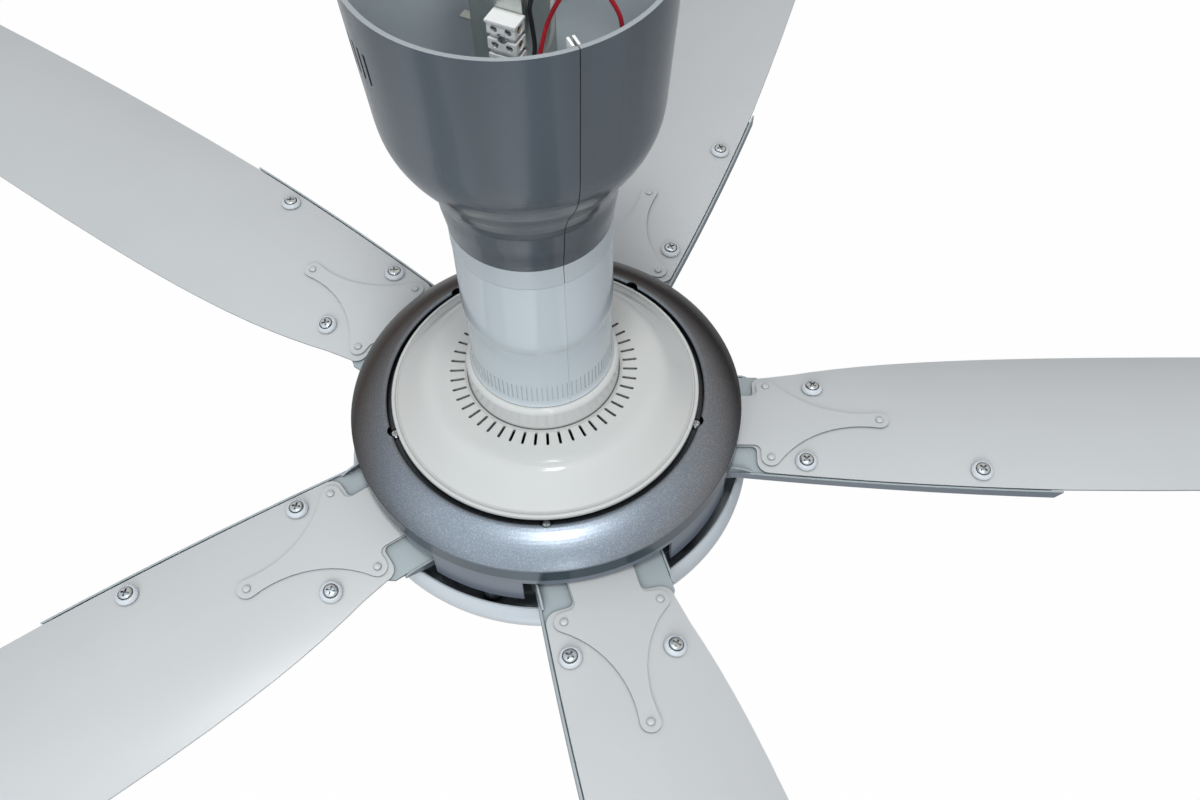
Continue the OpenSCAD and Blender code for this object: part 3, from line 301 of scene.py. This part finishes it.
# %% Moulded plastics
def moulded(name, hex_value, rough, grain_mm=0.6, nook_shade=0.4):
    mat, tree, out = blank(name)
    where = lay(tree, "ShaderNodeTexCoord").outputs["Object"]
    fine = lay(tree, "ShaderNodeTexNoise", {"Vector": where, "Scale": per_metre(grain_mm),
        "Detail": 3.0})
    broad = lay(tree, "ShaderNodeTexNoise", {"Vector": where, "Scale": per_metre(71.4),
        "Detail": 2.0})
    base = linear(hex_value)
    tint = lay(tree, "ShaderNodeMix", {"Factor": broad.outputs["Fac"], "A": shade(base, 0.94),
        "B": base}, data_type="RGBA")
    # Painted shade darkens the moulding's corners.
    shaded = paint_nook_shade(tree, tint.outputs["Result"], 2.5, nook_shade)
    gloss = lay(tree, "ShaderNodeMapRange", {"Value": fine.outputs["Fac"],
        "To Min": rough * 0.85, "To Max": rough * 1.15})
    bump = lay(tree, "ShaderNodeBump", {"Height": fine.outputs["Fac"], "Strength": 0.04,
        "Distance": 0.0002})
    skin = lay(tree, "ShaderNodeBsdfPrincipled", {"Base Color": shaded,
        "Roughness": gloss.outputs["Result"], "IOR": 1.53, "Normal": bump.outputs[0]})
    tree.links.new(skin.outputs[0], out.inputs["Surface"])
    return mat


# The lower cover, the collar and the motor cover are glossy and mirror the lamps.
# The last number is how dark the painted shade in their corners gets.
finishes["cover_grey"] = moulded("blue_grey_gloss_abs", "#c0cace", 0.1, 0.8, 0.85)
finishes["cover_white"] = moulded("off_white_gloss_abs", "#c9cbc8", 0.09, 0.8, 0.15)
# Nylon is milky and half matt, on the terminal block and in the washers.
finishes["nylon_white"] = moulded("white_nylon", "#eef0ee", 0.42)
finishes["washer_nylon"] = moulded("pale_nylon_washer", "#ced4d8", 0.3)
finishes["capacitor_case"] = moulded("capacitor_case", "#e3e5e3", 0.3)
# Rubber is nearly black and has no shine, and the leads' soft vinyl has a dull one.
finishes["bush_rubber"] = moulded("moulded_rubber", "#2c2e30", 0.75)
finishes["pvc_red"] = moulded("red_insulation", "#b3202c", 0.35)
finishes["pvc_white"] = moulded("white_insulation", "#e6e6e2", 0.38)
finishes["pvc_black"] = moulded("black_insulation", "#26282a", 0.35)
print("moulded finishes:", len(finishes))


# %% [markdown]
# Powder coat on sheet steel dries with a soft ripple a few millimetres across, called orange peel.
# It shows as a slight waver in the reflections along a blade. Upright faces are painted a darker
# colour than flat ones, as painted shade.

# %% Painted steel
def powder_coat(name, hex_value, rough, upright_shade_hex=None, nook_shade=(1.5, 0.7)):
    mat, tree, out = blank(name)
    coords = lay(tree, "ShaderNodeTexCoord")
    peel = lay(tree, "ShaderNodeTexNoise", {"Vector": coords.outputs["Object"],
        "Scale": per_metre(4.0), "Detail": 1.5})
    cloud = lay(tree, "ShaderNodeTexNoise", {"Vector": coords.outputs["Object"],
        "Scale": per_metre(143.0), "Detail": 3.0})
    base = linear(hex_value)
    cloudy = lay(tree, "ShaderNodeMix", {"Factor": cloud.outputs["Fac"],
        "A": shade(base, 0.93), "B": shade(base, 1.04)}, data_type="RGBA")
    # Upright faces take the darker colour: painted shade, for the light that falls mostly from
    # above.
    facing = lay(tree, "ShaderNodeSeparateXYZ", {0: coords.outputs["Normal"]})
    level = lay(tree, "ShaderNodeMath", {0: facing.outputs["Z"]}, operation="ABSOLUTE")
    flat = lay(tree, "ShaderNodeMapRange", {"Value": level.outputs[0], "From Min": 0.45,
        "From Max": 0.75})
    tint = lay(tree, "ShaderNodeMix", {"Factor": flat.outputs["Result"],
        "A": linear(upright_shade_hex or hex_value), "B": cloudy.outputs["Result"]}, data_type="RGBA")
    # Painted shade darkens the coat's corners.
    shaded = paint_nook_shade(tree, tint.outputs["Result"], *nook_shade)
    gloss = lay(tree, "ShaderNodeMapRange", {"Value": cloud.outputs["Fac"],
        "To Min": rough * 0.8, "To Max": rough * 1.2})
    bump = lay(tree, "ShaderNodeBump", {"Height": peel.outputs["Fac"], "Strength": 0.12,
        "Distance": 0.0003})
    skin = lay(tree, "ShaderNodeBsdfPrincipled", {"Base Color": shaded,
        "Roughness": gloss.outputs["Result"], "IOR": 1.5, "Normal": bump.outputs[0]})
    tree.links.new(skin.outputs[0], out.inputs["Surface"])
    return mat


# The second colour of each painted steel is the painted shade of its upright faces.
finishes["blade_paint"] = powder_coat("pale_grey_powder_coat", "#c5c8c8", 0.32, "#7b8285")
# The arms' flanges and ears stand close to the blades and to the hub, so painted shade reaches
# 7 mm into their corners.
finishes["arm_steel"] = powder_coat("grey_arm_coat", "#a9b4b7", 0.2, "#626b73", (7.0, 0.25))
finishes["wall_grey"] = powder_coat("dark_grey_wall_paint", "#6c7580", 0.3)
finishes["pipe_paint"] = powder_coat("grey_tube_paint", "#c3c8ca", 0.4)
print("finishes with the painted steel:", len(finishes))


# %% [markdown]
# Pearl lacquer holds fine flakes of mica or aluminium under a clear coat. The flakes are drawn as
# cells of about a third of a millimetre, coarser than real ones so that they show, each tipped a
# little its own way. Seen aslant the flakes turn their edges to the eye, so the colour sinks, and
# the dark tone it sinks to is also a painted reflection of a dark room. Upright faces, such as a
# lip, are painted dark as painted shade.

# %% Pearl lacquers
def pearl(name, hex_value, flake_hex, metal, rough, coat, flop_and_reflection_hex=None, lip_shade_hex=None):
    mat, tree, out = blank(name)
    coords = lay(tree, "ShaderNodeTexCoord")
    flake = lay(tree, "ShaderNodeTexVoronoi", {"Vector": coords.outputs["Object"],
        "Scale": per_metre(0.35)})
    pick = lay(tree, "ShaderNodeSeparateColor", {0: flake.outputs["Color"]})
    few = lay(tree, "ShaderNodeMapRange", {"Value": pick.outputs[0], "From Min": 0.7,
        "From Max": 1.0})
    tint = lay(tree, "ShaderNodeMix", {"Factor": few.outputs["Result"], "A": linear(hex_value),
        "B": linear(flake_hex)}, data_type="RGBA")
    # Seen aslant the colour sinks to a dark tone: the flakes' flop, and also a painted reflection
    # of a dark room.
    facing = lay(tree, "ShaderNodeLayerWeight", {"Blend": 0.5})
    aslant = lay(tree, "ShaderNodeMapRange", {"Value": facing.outputs["Facing"],
        "From Min": 0.08, "From Max": 0.5})
    flop_and_reflection = lay(tree, "ShaderNodeMix", {"Factor": aslant.outputs["Result"],
        "A": tint.outputs["Result"], "B": linear(flop_and_reflection_hex or hex_value)}, data_type="RGBA")
    # Upright faces, such as the lip, take a dark colour as painted shade.
    sideways = lay(tree, "ShaderNodeMath", {0: outward(tree, coords)}, operation="ABSOLUTE")
    upright = lay(tree, "ShaderNodeMapRange", {"Value": sideways.outputs[0], "From Min": 0.82,
        "From Max": 0.97})
    lacquer_tone = lay(tree, "ShaderNodeMix", {"Factor": upright.outputs["Result"],
        "A": flop_and_reflection.outputs["Result"], "B": linear(lip_shade_hex or hex_value)}, data_type="RGBA")
    # Painted shade, nearly black, fills corners and gaps out to 9 mm.
    shaded = paint_nook_shade(tree, lacquer_tone.outputs["Result"], 9.0, 0.02)
    bump = lay(tree, "ShaderNodeBump", {"Height": pick.outputs[1], "Strength": 0.07,
        "Distance": 0.0002})
    skin = lay(tree, "ShaderNodeBsdfPrincipled", {"Base Color": shaded, "Metallic": metal,
        "Roughness": rough, "Normal": bump.outputs[0], "Coat Weight": coat,
        "Coat Roughness": 0.1})
    tree.links.new(skin.outputs[0], out.inputs["Surface"])
    return mat


# The ring's aslant tone is part flop and part painted reflection; its lip colour is painted shade.
finishes["ring_pearl"] = pearl("ring_pearl_lacquer", "#939eab", "#c0c9d2", 0.9, 0.34, 0.35,
    "#353130", "#384a55")
finishes["pearl_silver"] = pearl("silver_pearl_lacquer", "#c5ced4", "#dbe2e6", 0.35, 0.3, 0.4)
print("finishes with the pearls:", len(finishes))


# %% [markdown]
# The canopy is moulded in pale grey plastic and sprayed with a dark metallic lacquer on its outside
# only. Its inside and the plain band at its foot were masked and keep the raw plastic, and the rim
# caught a thin overspray. The mask asks which way a face looks and how high it lies, on the piece
# itself. Soft upright streaks, lighter and darker, are painted reflections in the lacquer's colour.
# Its flakes only tip the reflections, and are drawn a third of a millimetre wide.

# %% Canopy lacquer
BAND_TOP = -0.1826
LACQUER_FLAKE_MM = 1 / 3


def sprayed_canopy(name, spray_hex, raw_hex):
    mat, tree, out = blank(name)
    coords = lay(tree, "ShaderNodeTexCoord")
    where = coords.outputs["Object"]
    outside = lay(tree, "ShaderNodeMath", {0: outward(tree, coords), 1: -0.35},
        operation="GREATER_THAN")
    up = lay(tree, "ShaderNodeSeparateXYZ", {0: coords.outputs["Normal"]})
    off_rim = lay(tree, "ShaderNodeMapRange", {"Value": up.outputs["Z"], "From Min": 0.6,
        "From Max": 0.9, "To Min": 1.0, "To Max": 0.35})
    sprayed = lay(tree, "ShaderNodeMath", {0: outside.outputs[0], 1: off_rim.outputs[0]},
        operation="MULTIPLY")
    height = lay(tree, "ShaderNodeSeparateXYZ", {0: where})
    above = lay(tree, "ShaderNodeMath", {0: height.outputs["Z"], 1: BAND_TOP},
        operation="GREATER_THAN")
    mask = lay(tree, "ShaderNodeMath", {0: sprayed.outputs[0], 1: above.outputs[0]},
        operation="MULTIPLY")
    drawn = lay(tree, "ShaderNodeMapping", {"Vector": where, "Scale": (1, 1, 0.12)})
    # Lighter and darker upright bands in the lacquer's colour are painted reflections.
    reflection_band = lay(tree, "ShaderNodeTexNoise", {"Vector": drawn.outputs[0],
        "Scale": per_metre(38.5), "Detail": 1.5})
    lacquer_tone = linear(spray_hex)
    lacquer = lay(tree, "ShaderNodeMix", {"Factor": reflection_band.outputs["Fac"],
        "A": shade(lacquer_tone, 0.5), "B": shade(lacquer_tone, 1.6)}, data_type="RGBA")
    tint = lay(tree, "ShaderNodeMix", {"Factor": mask.outputs[0], "A": linear(raw_hex),
        "B": lacquer.outputs["Result"]}, data_type="RGBA")
    metal = lay(tree, "ShaderNodeMath", {0: mask.outputs[0], 1: 0.5}, operation="MULTIPLY")
    gloss = lay(tree, "ShaderNodeMapRange", {"Value": mask.outputs[0], "To Min": 0.38,
        "To Max": 0.26})
    flake = lay(tree, "ShaderNodeTexVoronoi", {"Vector": where,
        "Scale": per_metre(LACQUER_FLAKE_MM)})
    tip = lay(tree, "ShaderNodeSeparateColor", {0: flake.outputs["Color"]})
    bump = lay(tree, "ShaderNodeBump", {"Height": tip.outputs[1], "Strength": 0.05,
        "Distance": 0.0002})
    skin = lay(tree, "ShaderNodeBsdfPrincipled", {"Base Color": tint.outputs["Result"],
        "Metallic": metal.outputs[0], "Roughness": gloss.outputs["Result"],
        "Normal": bump.outputs[0], "Coat Weight": 0.35, "Coat Roughness": 0.1})
    tree.links.new(skin.outputs[0], out.inputs["Surface"])
    return mat


finishes["canopy_grey"] = sprayed_canopy("canopy_satin_lacquer", "#465059", "#b6bfc3")
print("finishes with the canopy:", len(finishes))


# %% [markdown]
# Bare and plated metals are fully metallic. Zinc plate keeps the faint lines of the rolled sheet,
# so the noise is drawn out along the upright direction by a Mapping node. The same network with
# other stretches gives the grain of castings, ground steel and stacked sheets.

# %% Bare and plated metals
def plated(name, hex_value, rough, line_mm=0.5, stretch=12.0):
    mat, tree, out = blank(name)
    where = lay(tree, "ShaderNodeTexCoord").outputs["Object"]
    drawn = lay(tree, "ShaderNodeMapping", {"Vector": where, "Scale": (1, 1, 1 / stretch)})
    lines = lay(tree, "ShaderNodeTexNoise", {"Vector": drawn.outputs[0],
        "Scale": per_metre(line_mm), "Detail": 4.0})
    base = linear(hex_value)
    tint = lay(tree, "ShaderNodeMix", {"Factor": lines.outputs["Fac"], "A": shade(base, 0.82),
        "B": base}, data_type="RGBA")
    # Painted shade darkens corners and the cross recess.
    shaded = paint_nook_shade(tree, tint.outputs["Result"], 1.3, 0.25)
    gloss = lay(tree, "ShaderNodeMapRange", {"Value": lines.outputs["Fac"],
        "To Min": rough * 0.75, "To Max": rough * 1.25})
    skin = lay(tree, "ShaderNodeBsdfPrincipled", {"Base Color": shaded, "Metallic": 1.0,
        "Roughness": gloss.outputs["Result"]})
    tree.links.new(skin.outputs[0], out.inputs["Surface"])
    return mat


# The bracket is dull zinc sheet, and the screws are bright zinc with short marks of the tool.
finishes["zinc"] = plated("zinc_plated_sheet", "#dce1dd", 0.5)
finishes["bolt_zinc"] = plated("bright_zinc_fastener", "#f0f9fe", 0.3, 0.3, 4.0)
finishes["brass"] = plated("machined_brass", "#d2b062", 0.3)
# Castings scatter the light, and ground steel is nearly a mirror.
finishes["coupling_iron"] = plated("cast_coupling", "#8c9194", 0.55)
finishes["cast_alloy"] = plated("die_cast_alloy", "#b4b9bb", 0.5)
finishes["cage_metal"] = plated("squirrel_cage", "#9b9fa2", 0.45)
finishes["shaft_steel"] = plated("ground_shaft_steel", "#c5c8ca", 0.2)
finishes["bearing_steel"] = plated("bearing_steel", "#cfd2d4", 0.12)
# The core is a stack of thin brownish sheets, and the winding is copper under clear varnish.
finishes["lamination"] = plated("stacked_lamination", "#8a7f73", 0.5, 0.5, 20.0)
finishes["copper"] = plated("varnished_copper", "#b56a35", 0.35, 0.7, 6.0)
print("finishes with the metals:", len(finishes))

# %% [markdown]
# The CAD record names a finish for every node, so one loop dresses them all. The few nodes that
# are replaced further down take their finish from the same table.

# %% Dress the CAD nodes
for part in frame["record"]["subparts"]:
    thing = nodes[part["node"]]
    thing.data.materials.clear()
    thing.data.materials.append(finishes[part["material_slot"]])

# %% [markdown]
# Each blade stands in its own frame: it points outward from the axis, is pitched about that line,
# and its sheet is part of a cylinder 260 mm in radius. A second frame stands on the sheet at a
# screw or rivet, with Z along the local normal, so a fastener is made once and copied there.

# %% Frames on the blades
MM = 0.001
CEILING = 381
BLADES = 5
BLADE_PHASE, BLADE_PITCH, BLADE_Z = -5.3, 4.9, -23
CAMBER = 260
SCREWS = [(189.2, -36.6), (199.4, 32.6), (315, -42.7)]
RIVETS = [(164, -33.8), (164, 33.8), (246, 0)]


def blade_frame(k):
    """The place of blade k, counted clockwise from the right one as seen from above."""
    return (Matrix.Translation((0, 0, -CEILING * MM))
            @ Matrix.Rotation(math.radians(BLADE_PHASE - 360 / BLADES * k), 4, "Z")
            @ Matrix.Translation((0, 0, BLADE_Z * MM))
            @ Matrix.Rotation(math.radians(-BLADE_PITCH), 4, "X"))


def skin_frame(u, v):
    """The place on the sheet u mm out from the axis and v mm across from the blade's middle."""
    return (Matrix.Translation((u * MM, 0, -CAMBER * MM))
            @ Matrix.Rotation(-math.asin(v / CAMBER), 4, "X")
            @ Matrix.Translation((0, 0, CAMBER * MM)))


screw_spots = [blade_frame(k) @ skin_frame(u, v) for k in range(BLADES) for u, v in SCREWS]
rivet_spots = [blade_frame(k) @ skin_frame(u, v) for k in range(BLADES) for u, v in RIVETS]
print("screws:", len(screw_spots), "rivets:", len(rivet_spots))


# %% [markdown]
# Turned and moulded small parts start as half a section, which spin carries round the axis. Points
# on the axis and doubled points are merged, so poles and walls are shut.

# %% Helpers for new pieces
MERGE = 1e-6
CREASE = math.radians(35)


def turned(section, steps):
    """A closed round body from its half section, given in millimetres."""
    bm = bmesh.new()
    ring = [bm.verts.new((x * MM, 0, z * MM)) for x, z in section]
    edges = [bm.edges.new(pair) for pair in zip(ring, ring[1:])]
    bmesh.ops.spin(bm, geom=ring + edges, cent=(0, 0, 0), axis=(0, 0, 1), angle=math.tau,
                   steps=steps, use_merge=True)
    bmesh.ops.remove_doubles(bm, verts=bm.verts, dist=MERGE)
    bmesh.ops.recalc_face_normals(bm, faces=bm.faces)
    return bm


def as_mesh(bm, name):
    mesh = bpy.data.meshes.new(name)
    bm.to_mesh(mesh)
    bm.free()
    return mesh


def copies(mesh, spots):
    """One bmesh that holds the mesh at every spot."""
    bm = bmesh.new()
    for spot in spots:
        start = len(bm.verts)
        bm.from_mesh(mesh)
        bm.verts.ensure_lookup_table()
        bmesh.ops.transform(bm, matrix=spot, verts=bm.verts[start:])
    return bm


def show(bm, name, slot, body, node):
    """Turns a bmesh into a shaded object that rides on a body and stands for a CAD node."""
    mesh = as_mesh(bm, name)
    for face in mesh.polygons:
        face.use_smooth = True
    mesh.set_sharp_from_angle(angle=CREASE)
    mesh.materials.append(finishes[slot])
    piece = bpy.data.objects.new(name, mesh)
    bpy.context.scene.collection.objects.link(piece)
    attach(piece, body)
    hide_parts(node)
    print(name, len(mesh.polygons), "faces")


print("edges sharper than", round(math.degrees(CREASE)), "degrees stay sharp")


# %% [markdown]
# The screws are M5 pan heads with a cross recess. The recess is a tapered cross that a Boolean
# cuts out of one head. Its two blocks overlap, so the Boolean is told that the cutter meets
# itself. All fifteen heads are copies of that one, and they sit on the washers' seats.

# %% Pan head screws
WASHER_SEAT = 2.6
SEAT_AIR = 0.02


def cross_bit(radius, height):
    """Two crossed blocks, narrower at the low end, centred on the top of the head."""
    bm = bmesh.new()
    length, width, depth = radius * 1.7, radius * 0.34, height * 1.4
    taper = (0.6, 0.7, 1)
    for angle in (45, 135):
        arm = bmesh.ops.create_cube(bm, size=1)["verts"]
        bmesh.ops.scale(bm, vec=(length * MM, width * MM, depth * MM), verts=arm)
        low = [v for v in arm if v.co.z < 0]
        bmesh.ops.scale(bm, vec=taper, verts=low)
        bmesh.ops.rotate(bm, cent=(0, 0, 0),
                         matrix=Matrix.Rotation(math.radians(angle), 3, "Z"), verts=arm)
    bmesh.ops.translate(bm, vec=(0, 0, height * MM), verts=bm.verts)
    return bm


def pan_head(radius, height, shank, length):
    body = turned([(0, -length), (shank, -length + 0.4), (shank, 0), (radius - 0.3, 0),
                   (radius, 0.35), (radius, height * 0.42), (radius * 0.93, height * 0.68),
                   (radius * 0.76, height * 0.88), (radius * 0.5, height * 0.98), (0, height)], 36)
    head = bpy.data.objects.new("head_blank", as_mesh(body, "head_blank"))
    cutter = bpy.data.objects.new("cross_bit", as_mesh(cross_bit(radius, height), "cross_bit"))
    for thing in (head, cutter):
        bpy.context.scene.collection.objects.link(thing)
    cut = head.modifiers.new("recess", "BOOLEAN")
    cut.object = cutter
    cut.solver = "EXACT"
    cut.use_self = True
    bpy.context.view_layer.update()
    done = bpy.data.meshes.new_from_object(
        head.evaluated_get(bpy.context.evaluated_depsgraph_get()))
    for thing in (head, cutter):
        bpy.data.objects.remove(thing)
    return done


on_seat = Matrix.Translation((0, 0, (WASHER_SEAT + SEAT_AIR) * MM))
blade_head = pan_head(radius=4.8, height=2.9, shank=2.4, length=11)
show(copies(blade_head, [spot @ on_seat for spot in screw_spots]), "blade_screw_set",
     "bolt_zinc", "rotor", "blade_screws")

# %% [markdown]
# Under each head lies a thick washer moulded in pale nylon. Its top is a soft dome with a seat
# sunk in it, so the head sits inside a bright rounded collar. It is drawn 16 mm across, as the
# photograph shows it, which is a little wider than the CAD washer.

# %% Nylon washers
HOLE_R = 2.8
FOOT = 0.05
washer = turned([(HOLE_R, FOOT), (7.3, FOOT), (7.35, 0.4), (7.8, 0.7), (8.0, 1.2), (7.95, 1.8),
                 (7.65, 2.6), (7.15, 3.3), (6.5, 3.85), (5.9, 4.1), (5.5, 4.1), (5.25, 3.85),
                 (5.15, 3.2), (5.1, WASHER_SEAT), (HOLE_R, WASHER_SEAT), (HOLE_R, FOOT)], 48)
show(copies(as_mesh(washer, "washer"), screw_spots), "blade_washer_set", "washer_nylon",
     "rotor", "blade_washers")

# %% [markdown]
# The rivets were set before painting, so they carry the blade's own coat. Each is a low dome on
# the root plate and a flat upset head under the sheet.

# %% Rivets
rivet = turned([(0, -2.4), (2.3, -2.4), (2.5, -2.0), (2.5, -1.22), (1.5, -1.22), (1.5, 1.52),
                (2.75, 1.52), (2.85, 1.8), (2.6, 2.4), (2.0, 2.85), (1.0, 3.1), (0, 3.15)], 28)
show(copies(as_mesh(rivet, "rivet"), rivet_spots), "blade_rivet_set", "blade_paint", "rotor",
     "blade_rivets")

# %% [markdown]
# The leads are soft copper strands in coloured insulation. Each follows its route as one smooth
# curve: a NURBS line that listed points guide, given a round section and turned into a mesh.
# The routes are written in the bracket's own frame, which is turned about the fan's axis, with
# heights above the rotor's edge plane.

# %% Leads inside the canopy
HANGER = math.radians(-29.5)
LEAD_RADIUS = 1.2
BLOCK_TOP, POLE_STEP, POLES = 354, 9.5, 6


def from_hanger(x, y, z):
    """A point of the bracket's own frame, in millimetres, brought to the fan's frame."""
    c, s = math.cos(HANGER), math.sin(HANGER)
    return Vector((x * c + y * s, x * s - y * c, z - CEILING)) * MM


def lead(name, slot, route, node):
    curve = bpy.data.curves.new(name, "CURVE")
    curve.dimensions = "3D"
    curve.bevel_depth = LEAD_RADIUS * MM
    curve.bevel_resolution = 4
    curve.use_fill_caps = True
    line = curve.splines.new("NURBS")
    line.points.add(len(route) - 1)
    for point, place in zip(line.points, route):
        point.co = (*from_hanger(*place), 1.0)
    line.order_u = 3
    line.use_endpoint_u = True
    line.resolution_u = 8
    wire = bpy.data.objects.new(name + "_line", curve)
    bpy.context.scene.collection.objects.link(wire)
    bpy.context.view_layer.update()
    mesh = bpy.data.meshes.new_from_object(
        wire.evaluated_get(bpy.context.evaluated_depsgraph_get()))
    bpy.data.objects.remove(wire)
    bm = bmesh.new()
    bm.from_mesh(mesh)
    bmesh.ops.remove_doubles(bm, verts=bm.verts, dist=MERGE)
    bmesh.ops.recalc_face_normals(bm, faces=bm.faces)
    show(bm, name, slot, "hanging_frame", node)


pole = [BLOCK_TOP - POLE_STEP * (i + 0.5) for i in range(POLES)]
lead("red_lead", "pvc_red", [(14, 22, pole[4]), (21, 22.5, pole[4]), (22.8, 20.3, 326),
     (26.3, 14.2, 349), (29, 11.5, 357), (36, 8, 371), (46, 1, 373.5), (54.5, -4.3, 359),
     (59.2, -6.5, 344), (50, -14, 296), (24, -21, 268), (4, -16, 263), (2.2, -2.5, 262),
     (2.2, -5.6, 90), (2.2, -5.4, 68), (2.2, -0.9, 54), (2.2, -0.8, -5), (2.4, -35.1, -5.2)],
     "lead_red")
lead("return_lead", "pvc_black", [(2, 22, pole[5]), (-6, 22.5, pole[5]), (-22, 17, 288),
     (-27, -4, 278), (-18, -20, 268), (-4, -16, 263), (-2.2, -2.5, 262), (-2.2, -5.6, 90),
     (-2.2, -5.4, 68), (-2.2, -0.9, 54), (-2.2, -0.8, -5), (-2.4, -35.1, -5.2)], "lead_return")
lead("white_lead", "pvc_white", [(14, 22, pole[5]), (20, 22, pole[5]), (20.5, 13, 318),
     (21.7, 9, 328), (25.6, 8.4, 337), (26.4, 7, 344), (25, 4.3, 357), (26.5, 2, 379.5)],
     "lead_white")
lead("black_lead", "pvc_black", [(14, 22, pole[3]), (18.2, 20.5, pole[3]), (19.1, 13, 330),
     (16.7, 11.1, 345), (16.8, 14, 361), (22.5, -2, 379.5)], "lead_black")

# %% [markdown]
# The visual model has to stay as large as the CAD model. The view layer is brought up to date at
# the end.

# %% Update the view
bpy.context.view_layer.update()
